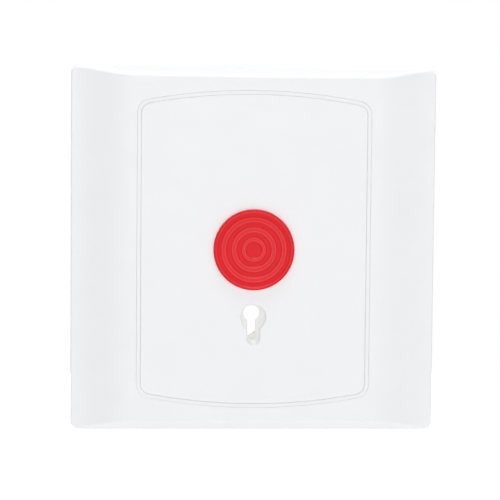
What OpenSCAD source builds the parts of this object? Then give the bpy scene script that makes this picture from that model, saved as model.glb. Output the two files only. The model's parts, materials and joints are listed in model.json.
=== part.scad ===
// Emergency alarm button for a wall box: a square clip-on cover, a round red button
// that latches when it is pressed, and a keyhole below it for the release key.
// Millimetres. The face looks along -Y, +Z is up, and the origin is the middle of the
// plate on the wall plane. Each piece is modelled lying on its back, with z pointing
// out of the wall and y up the wall, and upright() stands it up.

/* [Cover] */
// Width and height of the square cover
plate_w = 86; // [84:0.5:88]
// Corner radius of the cover's outline
corner_r = 2.2; // [1.2:0.1:3]
// Wall thickness of the cover
cover_wall = 2; // [1.6:0.1:2.4]
// Height of the cover's edge above the wall
rim_h = 4.6; // [4.2:0.1:6]
// Rise of the face from the edge to its middle
crown_rise = 3.6; // [3.2:0.1:4.5]
// Plan width of the steep bevels along the top and the bottom
bevel_run = 2.5; // [1.5:0.1:4]
// Plan width of the soft roll-off along the left and the right
ogee_run = 14.5; // [10:0.5:15.5]
// Half width of the grooved panel outline on the face
panel_half_w = 26.9; // [24:0.1:28]
// Half height of the grooved panel outline, at its middle
panel_half_h = 36.7; // [32:0.1:38]
// How far the panel's top and bottom bow outwards
panel_bow_h = 2.7; // [1.5:0.1:4]
// Corner radius of the panel outline
panel_corner_r = 2.8; // [1.5:0.1:4]
// Width of the groove
groove_w = 1; // [0.6:0.1:1.4]
// Depth of the groove
groove_d = 0.25; // [0.1:0.05:0.6]

/* [Button] */
// Diameter of the red cap
cap_d = 18.9; // [17.5:0.1:19.4]
// How far the cap's rim stands proud of the face
cap_proud = 0.8; // [0.6:0.1:2.4]
// Depth of the dish in the top of the cap
dish_depth = 0.7; // [0.5:0.1:2]
// Thickness of the cap under the dish
cap_skin = 1; // [0.9:0.1:1.6]
// Wall thickness of the cap's skirt
cap_skirt = 1.5; // [1.2:0.1:2]
// Height of the raised rings on the cap
ring_h = 0.4; // [0.2:0.05:0.6]
// Travel of the button from out to fully in
travel = 3.6; // [3:0.1:4]
// Diameter of the stem where it slides in its bush
stem_d = 6; // [5:0.1:6.6]
// Diameter of the two necks that the latch drops into
neck_d = 3.8; // [3:0.1:4]

/* [Keyhole] */
// Distance from the button's axis down to the keyhole's round part
key_drop = 15.85; // [15.2:0.05:16.5]
// Radius of the keyhole's round part in the cover
keyhole_r = 2.9; // [2.4:0.1:3]
// Width of the keyhole's slot in the cover
key_slot_w = 3; // [2.4:0.1:3.4]
// Distance from the round part's centre to the end of the slot
key_slot_l = 6.45; // [6:0.05:7]
// Radius of the socket that guides the key's pin
socket_r = 2; // [1.6:0.1:2.2]
// Width of the bit's passage beside the socket
bit_w = 2; // [1.4:0.1:2.2]

/* [Mounting] */
// Distance between the two wall screws
screw_pitch = 60.3; // [58:0.1:62]
// Length of each wall screw slot
slot_l = 8; // [6:0.5:9]
// Width of each wall screw slot
slot_w = 4.4; // [4:0.1:5]
// Thickness of the mounting base
base_t = 2; // [1.6:0.1:2.4]

/* [Mechanism] */
// Half width of the mechanism housing
housing_half_w = 24; // [23:0.5:25.5]
// Wall thickness of the housing
housing_wall = 1.8; // [1.4:0.1:2.2]
// Thickness of the rear cover
rear_t = 1.8; // [1.4:0.1:2.4]
// Thickness of the latch plate
latch_t = 1.2; // [1:0.1:1.6]
// How far the latch moves into a neck of the stem
latch_in = 1.1; // [0.8:0.1:1.1]
// How far the key moves the latch out
latch_out = 0.9; // [0.6:0.1:1.1]
// Distance from the stem's axis to the root where the leaf bends
leaf_reach = 15; // [14:0.5:17]
// Distance from the stem's axis to the contacts
contact_reach = 7; // [6.8:0.1:7.4]
// Thickness of the common leaf
leaf_t = 0.35; // [0.25:0.05:0.5]
// Radius of a terminal's wire hole
wire_r = 1.6; // [1.3:0.1:1.8]

/* [Hidden] */
$fn = 64;

// Clearances: every cut runs over by cut_over
cut_over = 1;
fit_gap = 0.15;
seat_gap = 0.3;
slide_gap = 0.08;
touch_gap = 0.1;

// Shares of the face's rise: the lip at the edge, and the gentle crown in the middle
edge_share = 0.12;
crown_share = 0.14;
arc_steps = 8;
ogee_steps = 12;
crown_steps = 10;

// Plate levels and half sizes
plate_half = plate_w / 2;
crown_z = rim_h + crown_rise;
roof_z = crown_z - cover_wall;
inner_half = plate_half - cover_wall;

// Beads on the cover that hook behind a ledge of the base, and the pry notch
bead_x = 18;
bead_w = 10;
bead_h = 0.9;
bead_d = 1;
bead_z = 0.4;
ledge_z = bead_z + bead_h + fit_gap;
pry_w = 8;
pry_h = 1.2;

// Base
base_half = inner_half - seat_gap;
base_rim_t = 1.5;
base_corner_r = 1.2;
base_rib_t = 1.2;
base_rib_gap = 0.4;
base_rib_y = 14;

// Cap: rim lip, raised rings, flange under the cover, and the boss that takes the stem
cap_r = cap_d / 2;
cap_rim_z = crown_z + cap_proud;
cap_seat_z = cap_rim_z - ring_h - dish_depth - cap_skin;
dish_power = 4;
lip_w = 0.6;
lip_round = 0.3;
ring_r_shares = [0.26, 0.495, 0.75];
ring_w = 1.6;
cap_point_gap = 0.3;
flange_over = 0.85;
flange_t = 1.3;
flange_r = cap_r + flange_over;
stop_gap = 0.2;
flange_z = roof_z - stop_gap;
boss_r = 4.2;
boss_z = travel + stop_gap;
spigot_r = 2.5;
press_gap = 0.03;

// Stem and latch levels, from the housing's front wall down
stem_r = stem_d / 2;
neck_r = neck_d / 2;
bush_wall = 1.8;
bush_r = stem_r + bush_wall;
bush_l = 4;
latch_gap = 0.4;
latch_top = -bush_l - latch_gap;
latch_bottom = latch_top - latch_t;
neck_gap = 0.4;
collar_lead = 0.7;
sleeve_below = 0.6;
sleeve_z = latch_bottom - sleeve_below;
clip_t = 0.7;
clip_over = 1;
clip_groove_d = 0.8;
clip_r = stem_r + clip_over;
clip_groove_r = stem_r - clip_groove_d;
clip_slot_w = 3.6;
clip_top = sleeve_z - stop_gap;
clip_bottom = clip_top - clip_t;
foot_lip = 0.7;
foot_z = clip_bottom - foot_lip;
tip_r = 1.2;
tip_l = 1.4;
tip_z = foot_z - tip_l;

// Return spring and its locating ring
spring_r = 6.2;
spring_wire_r = 0.28;
spring_turns = 3;
spring_ring_h = 0.8;
spring_ring_in = boss_r + seat_gap;
coil_sides = 6;
coil_rings = 8;
spring_ring_out = spring_r * cos(180 / coil_rings) - spring_wire_r - fit_gap;

// Key guide
key_y = -key_drop;
guide_wall = 0.8;
guide_half = keyhole_r + guide_wall;
guide_low_y = key_y - key_slot_l - guide_wall;
guide_front_z = roof_z - seat_gap;
guide_back_z = -bush_l;
socket_l = 2;
socket_z = guide_back_z + socket_l;
bit_l = key_slot_l - fit_gap;
guide_flange_over = 2.4;
guide_flange_t = 1.2;
guide_flange_drop = 2.4;

// Latch plate, its window with the sloped cam edge, and its spring
latch_half_w = 7;
nose_half_w = 4;
nose_gap = 0.2;
nose_y = -1.6;
nose_root_y = -8;
window_half_w = 4.3;
window_above = socket_r + latch_out + touch_gap;
cam_high_drop = 4.25;
cam_low_drop = 6.15;
window_top_y = key_y + window_above;
cam_high_y = key_y - cam_high_drop;
cam_low_y = key_y - cam_low_drop;
cam_high_x = 1.6;
cam_low_x = -1.3;
latch_below = 2.1;
latch_low_y = guide_low_y - latch_below;
tab_half_w = 3.5;
tab_t = latch_t;
tab_l = 3.4;
latch_spring_z = latch_bottom - tab_l / 2;
latch_spring_l = 4.9;
latch_spring_r = 1.5;
latch_spring_wire_r = 0.22;
latch_spring_turns = 5;
pip_r = 0.9;
pip_l = 1;

// Latch guides in the housing, and the keeper under the latch
pad_half_in = 5;
pad_half_out = 6.8;
guide_rib_t = 1.4;
keeper_half_h = 1.4;
keeper_post_gap = 0.6;
keeper_half_w = 11.8;
keeper_t = 1.2;
keeper_x = 10;
keeper_boss_r = 1.8;
keeper_z = latch_bottom - fit_gap;
small_screw_r = 0.75;
small_head_r = 1.4;
small_head_h = 0.9;
small_screw_l = 3.4;

// Screw heads: width at the top, and half length and half width of the cross recess, as
// shares of the head's radius
head_top_share = 0.85;
recess_l_share = 0.6;
recess_w_share = 0.12;

// Leaf and contacts: the leaf swings by swing degrees over the button's travel
leaf_half_w = 2.5;
leaf_tip_half_w = 1.9;
leaf_z = tip_z - touch_gap - leaf_t / 2;
leaf_tip_over = 2;
swing = travel / leaf_reach * 180 / PI;
lever = leaf_reach + contact_reach;
contact_r = 1.4;
contact_h = 0.5;
contact_shank_r = 0.8;
contact_back_r = 1.1;
contact_back_h = 0.3;
contact_gap = 0.15;
dome_r = (contact_r * contact_r + contact_h * contact_h) / (2 * contact_h);
strip_t = 0.4;
strip_half_w = 2;
keeper_y = -contact_reach - strip_half_w - keeper_post_gap - keeper_half_h;
root_gap = 0.15;

// The closed contact sits just above the leaf's own contact at rest
nc_strip_z = leaf_z + leaf_t / 2 + contact_h + contact_gap + contact_h;

// The open contact meets the swung leaf square on its dome
swung_drop = leaf_t / 2 + contact_h + contact_gap + dome_r;
no_dome_y = leaf_reach - lever * cos(swing) + swung_drop * sin(swing);
no_dome_z = leaf_z - lever * sin(swing) - swung_drop * cos(swing);
no_strip_z = no_dome_z + dome_r - contact_h;

// Terminals in a row at the top of the housing, between its corner screw bosses
boss_in = 4;
boss_outer_r = 2.8;
boss_gap = 1.2;
boss_x = housing_half_w - boss_in;
fin_t = 1.9;
outer_fin_t = 1.2;
block_w = (boss_x - boss_outer_r - boss_gap - outer_fin_t - fin_t - 3 * seat_gap) / 1.5;
block_h = 6.3;
block_l = 8;
terminal_pitch = block_w + fin_t + 2 * seat_gap;
block_gap = 2.4;
block_y = leaf_reach + block_gap;
clamp_in = 2.4;
clamp_y = block_y + clamp_in;
block_top = leaf_z - leaf_t / 2;
block_bottom = block_top - block_h;
wire_z = (block_top + block_bottom) / 2;
terminal_x = [-terminal_pitch, 0, terminal_pitch];
bend_gap = 0.6;
bend_y = leaf_reach - bend_gap;
clamp_r = 1.45;
clamp_head_r = 2.4;
clamp_head_h = 1.7;
clamp_out_l = 0.5;
post_r = 3.6;
access_r = 2.7;
rivet_r = 1;
rivet_head_r = 1.4;
rivet_head_h = 0.5;
rivet_l = 1.3;
rib_x = 2.5;
rib_t = 1.2;

// Housing limits and its four corner screw bosses
rear_gap = 1;
rear_in_z = no_strip_z - strip_t - rear_gap;
rear_out_z = rear_in_z - rear_t;
top_in_y = block_y + block_l + seat_gap;
top_out_y = top_in_y + housing_wall;
low_in_y = latch_low_y - latch_spring_l - touch_gap;
low_out_y = low_in_y - housing_wall;
side_in = housing_half_w - housing_wall;
case_corner_r = 2;
case_mid_y = (top_out_y + low_out_y) / 2;
case_half_h = (top_out_y - low_out_y) / 2;
boss_top_in = 2.2;
boss_low_in = 2;
boss_y = [top_in_y - boss_top_in, low_in_y + boss_low_in];
case_screw_r = 1.2;
case_head_r = 2.4;
base_rib_x = boss_x - case_head_r - base_rib_gap - base_rib_t;
case_head_h = 1.6;
case_screw_l = 5;
wire_funnel_over = 0.6;
wire_funnel_r = wire_r + wire_funnel_over;
rear_window_half_w = 4;
rear_window_above = 3;
rear_window_below = 1.9;
rear_window_top = key_y + rear_window_above;
rear_window_low = guide_low_y - rear_window_below;
lip_t = 1.2;
rear_lip_h = 1.5;

// Height share of the face at a distance x from the middle: a lip at the edge, a smooth
// roll-off and a gentle crown, which together come to 1 in the middle
function blend(t) = t >= 1 ? 1 : t * t * (3 - 2 * t);
function face_share(x) =
    edge_share
    + (1 - edge_share - crown_share) * blend((plate_half - abs(x)) / ogee_run)
    + crown_share * (1 - pow(x / plate_half, 2));
function face_z(x) = rim_h + crown_rise * face_share(x);
base_rim_h = face_z(base_half) - cover_wall - seat_gap;

// Places across the plate where the face's outline has a point, from right to left
function face_places(half) = concat(
    [for (i = [0 : ogee_steps]) half - (ogee_run - plate_half + half) * i / ogee_steps],
    [for (i = [1 : crown_steps - 1]) (plate_half - ogee_run) * (1 - 2 * i / crown_steps)],
    [for (i = [ogee_steps : -1 : 0]) -half + (ogee_run - plate_half + half) * i / ogee_steps]
);

function arc(centre, r, from, to, steps = arc_steps) = [for (i = [0 : steps])
    let (a = from + (to - from) * i / steps) centre + r * [cos(a), sin(a)]];

function round_rect(half_w, half_h, r) = concat(
    arc([half_w - r, half_h - r], r, 0, 90),
    arc([r - half_w, half_h - r], r, 90, 180),
    arc([r - half_w, r - half_h], r, 180, 270),
    arc([half_w - r, r - half_h], r, 270, 360)
);

// The panel outline grown by g: straight sides, bowed top and bottom, round corners
function panel_outline(g) =
    let (
        bow_r = (panel_half_w * panel_half_w + panel_bow_h * panel_bow_h) / (2 * panel_bow_h) + g,
        corner = panel_corner_r + g,
        corner_x = panel_half_w - panel_corner_r,
        bow_y = panel_half_h + g - bow_r,
        corner_y = bow_y + sqrt(pow(bow_r - corner, 2) - pow(corner_x, 2)),
        turn = atan2(corner_y - bow_y, corner_x)
    )
    concat(
        arc([corner_x, corner_y], corner, 0, turn),
        arc([0, bow_y], bow_r, turn, 180 - turn, 2 * arc_steps),
        arc([-corner_x, corner_y], corner, 180 - turn, 180),
        arc([-corner_x, -corner_y], corner, 180, 180 + turn),
        arc([0, -bow_y], bow_r, 180 + turn, 360 - turn, 2 * arc_steps),
        arc([corner_x, -corner_y], corner, 360 - turn, 360)
    );

// Lying on its back to standing on the wall
module upright() rotate([90, 0, 0]) children();

module at(z) translate([0, 0, z]) children();

// A cylinder between two levels
module rod(r, low, high) at(low) cylinder(r = r, h = high - low);

// A block between two levels, from its x and y limits
module slab(x, y, low, high) translate([x[0], y[0], low]) cube([x[1] - x[0], y[1] - y[0], high - low]);

module both_sides() {
    children();
    mirror([1, 0, 0]) children();
}

// A round hole with a round-ended slot below it, centred on the key's axis
module keyhole(r, slot_w, slot_l, low, high) translate([0, key_y, 0]) {
    rod(r, low, high);
    slab([-slot_w / 2, slot_w / 2], [slot_w / 2 - slot_l, 0], low, high);
    translate([0, slot_w / 2 - slot_l, 0]) rod(slot_w / 2, low, high);
}

// The face's outline across the plate, between two heights measured from the face, and
// run along the whole plate
module face_band(half, drop, low) rotate([90, 0, 0])
    linear_extrude(height = plate_w + 2 * cut_over, center = true)
        polygon(concat([[-half, low], [half, low]], [for (x = face_places(half)) [x, face_z(x) - drop]]));

// The bevels along the top and the bottom, run across the whole plate
module bevel_band(half, edge_z, top_z) rotate([90, 0, 90])
    linear_extrude(height = plate_w + 2 * cut_over, center = true)
        polygon([[-half, -cut_over], [half, -cut_over], [half, edge_z], [half - bevel_run, top_z],
            [bevel_run - half, top_z], [-half, edge_z]]);

module cover_form(half, r, drop, edge_z, low) intersection() {
    at(low) linear_extrude(height = crown_z + cut_over - low) polygon(round_rect(half, half, r));
    face_band(half, drop, low - cut_over);
    bevel_band(half, edge_z, crown_z - drop);
}

module groove() difference() {
    at(rim_h) linear_extrude(height = crown_rise + cut_over) difference() {
        polygon(panel_outline(groove_w / 2));
        polygon(panel_outline(-groove_w / 2));
    }
    face_band(plate_half, groove_d, 0);
}

module front_cover() color("white") upright() {
    difference() {
        cover_form(plate_half, corner_r, 0, rim_h, 0);
        cover_form(inner_half, max(corner_r - cover_wall, fit_gap), cover_wall,
            rim_h - cover_wall / 2, -cut_over);
        groove();
        rod(cap_r + fit_gap, 0, crown_z + cut_over);
        keyhole(keyhole_r, key_slot_w, key_slot_l, 0, crown_z + cut_over);
        slab([-pry_w / 2, pry_w / 2], [-plate_half - cut_over, -inner_half + cut_over], -cut_over, pry_h);
    }
    both_sides() for (side = [0, 1]) mirror([0, side, 0])
        slab([bead_x - bead_w / 2, bead_x + bead_w / 2],
            [inner_half - bead_d, inner_half + cover_wall / 2], bead_z, bead_z + bead_h);
}

// Places of the four case screws
module at_case_screws() both_sides() for (y = boss_y) translate([boss_x, y, 0]) children();

module guide_body(grow, low, high) {
    translate([0, key_y, 0]) rod(guide_half + grow, low, high);
    slab([-guide_half - grow, guide_half + grow], [guide_low_y - grow, key_y], low, high);
}

module wall_slot() both_sides() {
    slot_end = (slot_l - slot_w) / 2;
    for (side = [1, -1]) translate([screw_pitch / 2 + side * slot_end, 0, 0])
        rod(slot_w / 2, -cut_over, base_t + cut_over);
    slab([screw_pitch / 2 - slot_end, screw_pitch / 2 + slot_end], [-slot_w / 2, slot_w / 2],
        -cut_over, base_t + cut_over);
}

module mounting_base() color("whitesmoke") upright() difference() {
    union() {
        linear_extrude(height = base_t) polygon(round_rect(base_half, base_half, base_corner_r));
        difference() {
            linear_extrude(height = base_rim_h)
                polygon(round_rect(base_half, base_half, base_corner_r));
            slab([base_rim_t - base_half, base_half - base_rim_t],
                [base_rim_t - base_half, base_half - base_rim_t], -cut_over, base_rim_h + cut_over);
        }
        both_sides() for (side = [0, 1]) mirror([0, side, 0]) {
            slab([base_rib_x, base_rib_x + base_rib_t], [base_rib_y, base_half - base_rim_t / 2],
                base_t / 2, base_rim_h);
            slab([base_rib_x, base_half - base_rim_t / 2], [base_rib_y, base_rib_y + base_rib_t],
                base_t / 2, base_rim_h);
        }
    }
    rod(flange_r + 2 * seat_gap, -cut_over, base_t + cut_over);
    guide_body(fit_gap, -cut_over, base_t + cut_over);
    wall_slot();
    at_case_screws() rod(case_screw_r + fit_gap, -cut_over, base_t + cut_over);
    both_sides() for (side = [0, 1]) mirror([0, side, 0])
        slab([bead_x - bead_w / 2 - seat_gap, bead_x + bead_w / 2 + seat_gap],
            [base_half - bead_d, base_half + cut_over], -cut_over, ledge_z);
}

module key_guide() color("gainsboro") upright() difference() {
    union() {
        guide_body(0, guide_back_z, guide_front_z);
        slab([-guide_half - guide_flange_over, guide_half + guide_flange_over],
            [guide_low_y - guide_flange_over, key_y + guide_flange_drop], base_t, base_t + guide_flange_t);
    }
    keyhole(keyhole_r, key_slot_w, key_slot_l, socket_z, guide_front_z + cut_over);
    keyhole(socket_r, bit_w, bit_l, guide_back_z - cut_over, socket_z + cut_over);
}

// The outline that the housing and its rear cover share, between two levels
module case_form(low, high) translate([0, case_mid_y, low]) linear_extrude(height = high - low)
    polygon(round_rect(housing_half_w, case_half_h, case_corner_r));

// Latch pads, guide ribs and keeper bosses on the back of the housing's front wall
module latch_guides() both_sides() {
    run = [latch_low_y, nose_root_y - latch_in];
    rib_x = latch_half_w + fit_gap;
    slab([pad_half_in, pad_half_out], run, latch_top + touch_gap, -housing_wall / 2);
    slab([rib_x, rib_x + guide_rib_t], run, latch_bottom, -housing_wall / 2);
    translate([keeper_x, keeper_y, 0]) rod(keeper_boss_r, keeper_z, -housing_wall / 2);
}

// The strips' posts: one down to each fixed contact strip, beside its arm
module strip_posts() {
    slab([terminal_pitch - strip_half_w, terminal_pitch + strip_half_w],
        [-contact_reach - strip_half_w, strip_half_w - contact_reach],
        nc_strip_z + strip_t + touch_gap, -housing_wall / 2);
    slab([-terminal_pitch - strip_half_w, strip_half_w - terminal_pitch],
        [-contact_reach - strip_half_w, strip_half_w - contact_reach],
        no_strip_z + touch_gap, -housing_wall / 2);
}

// Ribs that the terminals' strips lie on, and fins between the terminals
module terminal_bays() {
    for (x = terminal_x) for (side = [1, -1])
        slab([x + side * rib_x - rib_t / 2, x + side * rib_x + rib_t / 2],
            [block_y, top_in_y + housing_wall / 2], block_top + strip_t + touch_gap, -housing_wall / 2);
    both_sides() {
        slab([terminal_pitch / 2 - fin_t / 2, terminal_pitch / 2 + fin_t / 2],
            [block_y, top_in_y + housing_wall / 2], block_bottom, -housing_wall / 2);
        slab([terminal_pitch + block_w / 2 + seat_gap, terminal_pitch + block_w / 2 + seat_gap + outer_fin_t],
            [block_y, top_in_y + housing_wall / 2], block_bottom, -housing_wall / 2);
    }
}

module mechanism_housing() color("gainsboro") upright() difference() {
    union() {
        difference() {
            case_form(rear_in_z, 0);
            slab([-side_in, side_in], [low_in_y, top_in_y], rear_in_z - cut_over, -housing_wall);
        }
        rod(bush_r, -bush_l, -housing_wall / 2);
        difference() {
            rod(bush_r, sleeve_z, -bush_l + touch_gap);
            slab([-bush_r - cut_over, bush_r + cut_over], [-bush_r - cut_over, 0], sleeve_z - cut_over, 0);
        }
        difference() {
            rod(spring_ring_out, -housing_wall / 2, spring_ring_h);
            rod(spring_ring_in, 0, spring_ring_h + cut_over);
        }
        at_case_screws() rod(boss_outer_r, rear_in_z, -housing_wall / 2);
        latch_guides();
        strip_posts();
        terminal_bays();
        translate([0, low_in_y - housing_wall / 2, latch_spring_z]) rotate([-90, 0, 0])
            rod(pip_r, 0, pip_l + housing_wall / 2);
    }
    rod(stem_r + slide_gap, sleeve_z - cut_over, spring_ring_h + cut_over);
    guide_body(fit_gap, -housing_wall - cut_over, cut_over);
    at_case_screws() {
        rod(case_screw_r + press_gap, -case_screw_l - cut_over, cut_over);
        rod(case_screw_r + press_gap, rear_in_z - cut_over, rear_in_z + case_screw_l + cut_over);
    }
    both_sides() translate([keeper_x, keeper_y, 0])
        rod(small_screw_r + press_gap, keeper_z - cut_over, keeper_z + small_screw_l - keeper_t + touch_gap);
    for (x = terminal_x) translate([x, top_in_y - cut_over, wire_z]) rotate([-90, 0, 0])
        rod(wire_funnel_r, 0, housing_wall + 2 * cut_over);
}

module rear_cover() color("gainsboro") upright() difference() {
    union() {
        case_form(rear_out_z, rear_in_z);
        both_sides() slab([side_in - fit_gap - lip_t, side_in - fit_gap],
            [boss_y[1] + 2 * boss_outer_r, block_y], rear_in_z - rear_t / 2, rear_in_z + rear_lip_h);
        for (x = terminal_x) translate([x, clamp_y, 0])
            rod(post_r, rear_in_z - rear_t / 2, block_bottom - touch_gap);
        slab([-terminal_pitch - strip_half_w, strip_half_w - terminal_pitch],
            [-contact_reach - strip_half_w, strip_half_w - contact_reach],
            rear_in_z - rear_t / 2, no_strip_z - strip_t - touch_gap);
    }
    for (x = terminal_x) translate([x, clamp_y, 0])
        rod(access_r, rear_out_z - cut_over, block_bottom);
    at_case_screws() rod(case_screw_r + fit_gap, rear_out_z - cut_over, rear_in_z + cut_over);
    slab([-rear_window_half_w, rear_window_half_w], [rear_window_low, rear_window_top],
        rear_out_z - cut_over, rear_in_z + cut_over);
}

// Height of the cap's top above its seat at radius r: a dish, flat in its middle, three raised rings
// with round flanks, and a lip at the rim that rounds over to the skirt
function bump(r, middle) =
    let (near_share = 1 - abs(r - middle) / (ring_w / 2))
    near_share <= 0 ? 0 : ring_h * blend(2 * near_share);
function dish_z(r) =
    cap_rim_z - ring_h - dish_depth * (1 - pow(r / cap_r, dish_power))
    + bump(r, ring_r_shares[0] * cap_r)
    + bump(r, ring_r_shares[1] * cap_r)
    + bump(r, ring_r_shares[2] * cap_r);
dish_end = cap_r - lip_w - ring_h;
function cap_top() = concat(
    [for (r = [0 : cap_point_gap : dish_end]) [r, dish_z(r)]],
    [[cap_r - lip_w, cap_rim_z]],
    arc([cap_r - lip_round, cap_rim_z - lip_round], lip_round, 90, 0, 4)
);

module button_cap() color("crimson") upright() rotate_extrude() polygon(concat(
    cap_top(),
    [[cap_r, flange_z], [flange_r, flange_z], [flange_r, flange_z - flange_t],
        [cap_r - cap_skirt, flange_z - flange_t], [cap_r - cap_skirt, cap_seat_z], [boss_r, cap_seat_z],
        [boss_r, boss_z], [spigot_r + press_gap, boss_z], [spigot_r + press_gap, cap_seat_z],
        [0, cap_seat_z]]
));

module button_stem() color("white") upright() rotate_extrude() polygon([
    [0, cap_seat_z - touch_gap],
    [spigot_r, cap_seat_z - touch_gap],
    [spigot_r, boss_z],
    [stem_r, boss_z],
    [stem_r, latch_top + travel + neck_gap],
    [neck_r, latch_top + travel + neck_gap],
    [neck_r, latch_bottom + travel - neck_gap],
    [stem_r, latch_bottom + travel - neck_gap],
    [stem_r, latch_top + neck_gap + collar_lead],
    [neck_r, latch_top + neck_gap],
    [neck_r, latch_bottom - neck_gap],
    [stem_r, latch_bottom - neck_gap],
    [stem_r, clip_top + press_gap],
    [clip_groove_r, clip_top + press_gap],
    [clip_groove_r, clip_bottom - press_gap],
    [stem_r, clip_bottom - press_gap],
    [stem_r, foot_z],
    [tip_r, foot_z],
    each arc([0, tip_z + tip_r], tip_r, 0, -90)
]);

module stem_clip() color("silver") upright() difference() {
    rod(clip_r, clip_bottom, clip_top);
    rod(clip_groove_r + press_gap, clip_bottom - cut_over, clip_top + cut_over);
    slab([0, clip_r + cut_over], [-clip_slot_w / 2, clip_slot_w / 2],
        clip_bottom - cut_over, clip_top + cut_over);
}

// Ring middles of a wound spring that stands on z = 0, and its wire as one tube
function coil_place(mean_r, length, turns, i) =
    let (a = 360 * i / coil_rings) [mean_r * cos(a), mean_r * sin(a), length * i / (turns * coil_rings)];
function coil_gap(mean_r, wire, length, turns) = min([for (i = [0 : (turns - 1) * coil_rings])
    let (here = coil_place(mean_r, length, turns, i))
    norm(coil_place(mean_r, length, turns, i + coil_rings) - here) - 2 * wire]);

module coil(mean_r, wire, length, turns) {
    rings = turns * coil_rings;
    height = length - 2 * wire;
    tube = [for (i = [0 : rings]) for (k = [0 : coil_sides - 1]) let (
        place = coil_place(mean_r, height, turns, i),
        out = [place[0], place[1], 0] / mean_r,
        a = 360 * k / coil_sides)
        place + wire * (cos(a) * out + [0, 0, sin(a)]) + [0, 0, wire]];
    sides = [for (i = [0 : rings - 1]) for (k = [0 : coil_sides - 1]) let (
        here = i * coil_sides + k,
        beside = i * coil_sides + (k + 1) % coil_sides) each [
            [here, beside, beside + coil_sides],
            [here, beside + coil_sides, here + coil_sides]]];
    start = [for (k = [coil_sides - 1 : -1 : 0]) k];
    end = [for (k = [0 : coil_sides - 1]) rings * coil_sides + k];
    echo(least_gap = coil_gap(mean_r, wire, height, turns));
    polyhedron(points = tube, faces = concat(sides, [start], [end]), convexity = 2 * turns);
}

module return_spring() color("silver") upright() at(touch_gap / 2)
    coil(spring_r, spring_wire_r, cap_seat_z - touch_gap, spring_turns);

module latch_spring() color("silver") upright() translate([0, latch_low_y - touch_gap / 2, latch_spring_z])
    rotate([90, 0, 0]) coil(latch_spring_r, latch_spring_wire_r, latch_spring_l, latch_spring_turns);

module latch_slider() color("darkkhaki") upright() {
    difference() {
        at(latch_bottom) linear_extrude(height = latch_t) difference() {
            polygon([[-nose_half_w, nose_y], [nose_half_w, nose_y], [nose_half_w, nose_root_y],
                [latch_half_w, nose_root_y], [latch_half_w, latch_low_y], [-latch_half_w, latch_low_y],
                [-latch_half_w, nose_root_y], [-nose_half_w, nose_root_y]]);
            polygon([[-window_half_w, window_top_y], [window_half_w, window_top_y],
                [window_half_w, cam_high_y], [cam_high_x, cam_high_y], [cam_low_x, cam_low_y],
                [-window_half_w, cam_low_y]]);
        }
        rod(stem_r + nose_gap, latch_bottom - cut_over, latch_top + cut_over);
    }
    slab([-tab_half_w, tab_half_w], [latch_low_y, latch_low_y + tab_t], latch_bottom - tab_l, latch_bottom);
    translate([0, latch_low_y, latch_spring_z]) rotate([90, 0, 0]) rod(pip_r, -tab_t / 2, pip_l);
}

module latch_keeper() color("lightgrey") upright() difference() {
    slab([-keeper_half_w, keeper_half_w], [keeper_y - keeper_half_h, keeper_y + keeper_half_h],
        keeper_z - keeper_t, keeper_z);
    both_sides() translate([keeper_x, keeper_y, 0])
        rod(small_screw_r + fit_gap, keeper_z - keeper_t - cut_over, keeper_z + cut_over);
}

// A pan-head screw that points along +z from z = 0 under its head, with a cross recess
module screw(r, length, head_r, head_h) {
    recess_l = head_r * recess_l_share;
    recess_w = head_r * recess_w_share;
    difference() {
        rotate_extrude() polygon([[0, -head_h], [head_r * head_top_share, -head_h], [head_r, 0],
            [r, 0], [r, length - r / 2], [r / 2, length], [0, length]]);
        for (turn = [0, 90]) rotate([0, 0, turn])
            slab([-recess_l, recess_l], [-recess_w, recess_w], -head_h - cut_over, -head_h / 2);
    }
}

module keeper_screws() color("silver") upright() both_sides()
    translate([keeper_x, keeper_y, keeper_z - keeper_t])
        screw(small_screw_r, small_screw_l, small_head_r, small_head_h);

module common_leaf() color("peru") upright() difference() {
    at(leaf_z - leaf_t / 2) linear_extrude(height = leaf_t) polygon([
        [-leaf_half_w, leaf_reach], [leaf_half_w, leaf_reach],
        [leaf_half_w, 0], [leaf_tip_half_w, -contact_reach - leaf_tip_over],
        [-leaf_tip_half_w, -contact_reach - leaf_tip_over], [-leaf_half_w, 0]]);
    translate([0, -contact_reach, 0])
        rod(contact_shank_r + press_gap, leaf_z - leaf_t / 2 - cut_over, leaf_z + leaf_t / 2 + cut_over);
}

module moving_contact() color("silver") upright() translate([0, -contact_reach, leaf_z]) {
    rod(contact_shank_r, -leaf_t / 2 - contact_h / 2, leaf_t / 2 + contact_h / 2);
    rod(contact_r, leaf_t / 2, leaf_t / 2 + contact_h);
    rod(contact_r, -leaf_t / 2 - contact_h, -leaf_t / 2);
}

// A domed contact rivet whose head stands on z = 0, with its shank through the strip below
module domed_contact() rotate_extrude() polygon(concat(
    [[0, -strip_t - contact_back_h], [contact_back_r, -strip_t - contact_back_h], [contact_back_r, -strip_t],
        [contact_shank_r, -strip_t], [contact_shank_r, 0]],
    arc([0, contact_h - dome_r], dome_r, 90 - asin(contact_r / dome_r), 90, 6)
));

module common_strip() color("peru") upright() difference() {
    slab([-leaf_half_w, leaf_half_w], [leaf_reach + root_gap, block_y + block_l],
        leaf_z - leaf_t / 2, leaf_z + leaf_t / 2);
    rivet_hole(0);
}

module rivet_hole(x) translate([x, clamp_y, 0])
    rod(rivet_r + press_gap, block_top - cut_over, block_top + strip_t + cut_over);

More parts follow.
